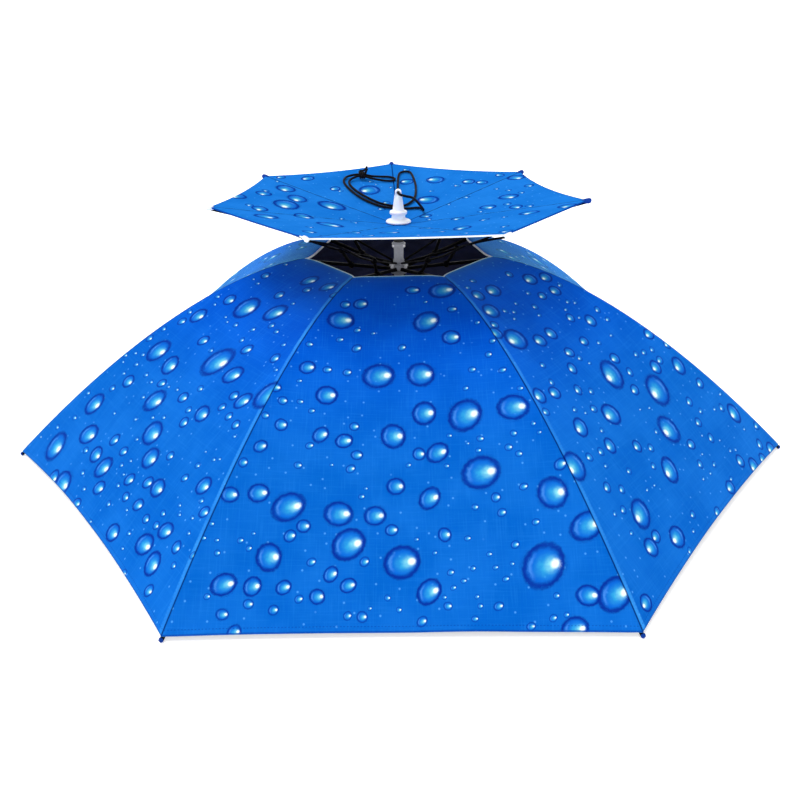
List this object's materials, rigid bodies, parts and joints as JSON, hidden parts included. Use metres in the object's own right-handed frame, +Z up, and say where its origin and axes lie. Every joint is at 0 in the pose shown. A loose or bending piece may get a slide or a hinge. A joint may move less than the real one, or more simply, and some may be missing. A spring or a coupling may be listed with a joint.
{
  "type": "umbrella hat",
  "caption": "Hands-free umbrella hat: a wide vented dome canopy on ribs over a headband, with a small dished canopy above the vent and a cord loop at the finial.",
  "frame": {"origin": "centre of the hat's footprint on the surface that its seven main rib ends stand on", "axes": "+Z up, +X to the wearer's left across the front gore, -Y out through the middle of the front gore"},
  "size_m": [0.7558, 0.7369, 0.2408],
  "materials": {
    "canopy_cloth": "smooth tight-woven polyester, printed with water drops",
    "frame_black": "black coated steel",
    "grey_plastic": "grey moulded plastic",
    "white_plastic": "milky white moulded plastic",
    "pad_plastic": "black moulded plastic",
    "webbing": "black woven elastic webbing",
    "elastic_cord": "black braided elastic cord"
  },
  "bodies": {
    "root": {"finial": "white_plastic", "shaft": "grey_plastic", "upper_hub": "grey_plastic", "lower_hub": "grey_plastic", "runner": "grey_plastic", "crown_pad": "pad_plastic", "headband": "webbing", "loop_cord": "elastic_cord", "cord_knot": "elastic_cord", "main_panel_1": "canopy_cloth", "main_panel_2": "canopy_cloth", "main_panel_3": "canopy_cloth", "main_panel_4": "canopy_cloth", "main_panel_5": "canopy_cloth", "main_panel_6": "canopy_cloth", "main_panel_7": "canopy_cloth", "upper_panel_1": "canopy_cloth", "upper_panel_2": "canopy_cloth", "upper_panel_3": "canopy_cloth", "upper_panel_4": "canopy_cloth", "upper_panel_5": "canopy_cloth", "upper_panel_6": "canopy_cloth", "upper_panel_7": "canopy_cloth", "main_rib_1": "frame_black", "main_rib_2": "frame_black", "main_rib_3": "frame_black", "main_rib_4": "frame_black", "main_rib_5": "frame_black", "main_rib_6": "frame_black", "main_rib_7": "frame_black", "upper_rib_1": "frame_black", "upper_rib_2": "frame_black", "upper_rib_3": "frame_black", "upper_rib_4": "frame_black", "upper_rib_5": "frame_black", "upper_rib_6": "frame_black", "upper_rib_7": "frame_black", "strut_1": "frame_black", "strut_2": "frame_black", "strut_3": "frame_black", "strut_4": "frame_black", "strut_5": "frame_black", "strut_6": "frame_black", "strut_7": "frame_black", "stretcher_1": "frame_black", "stretcher_2": "frame_black", "stretcher_3": "frame_black", "stretcher_4": "frame_black", "stretcher_5": "frame_black", "stretcher_6": "frame_black", "stretcher_7": "frame_black", "band_strap_1": "webbing", "band_strap_2": "webbing", "band_strap_3": "webbing", "band_strap_4": "webbing", "band_strap_5": "webbing", "band_strap_6": "webbing", "band_strap_7": "webbing"}
  },
  "joints": []
}
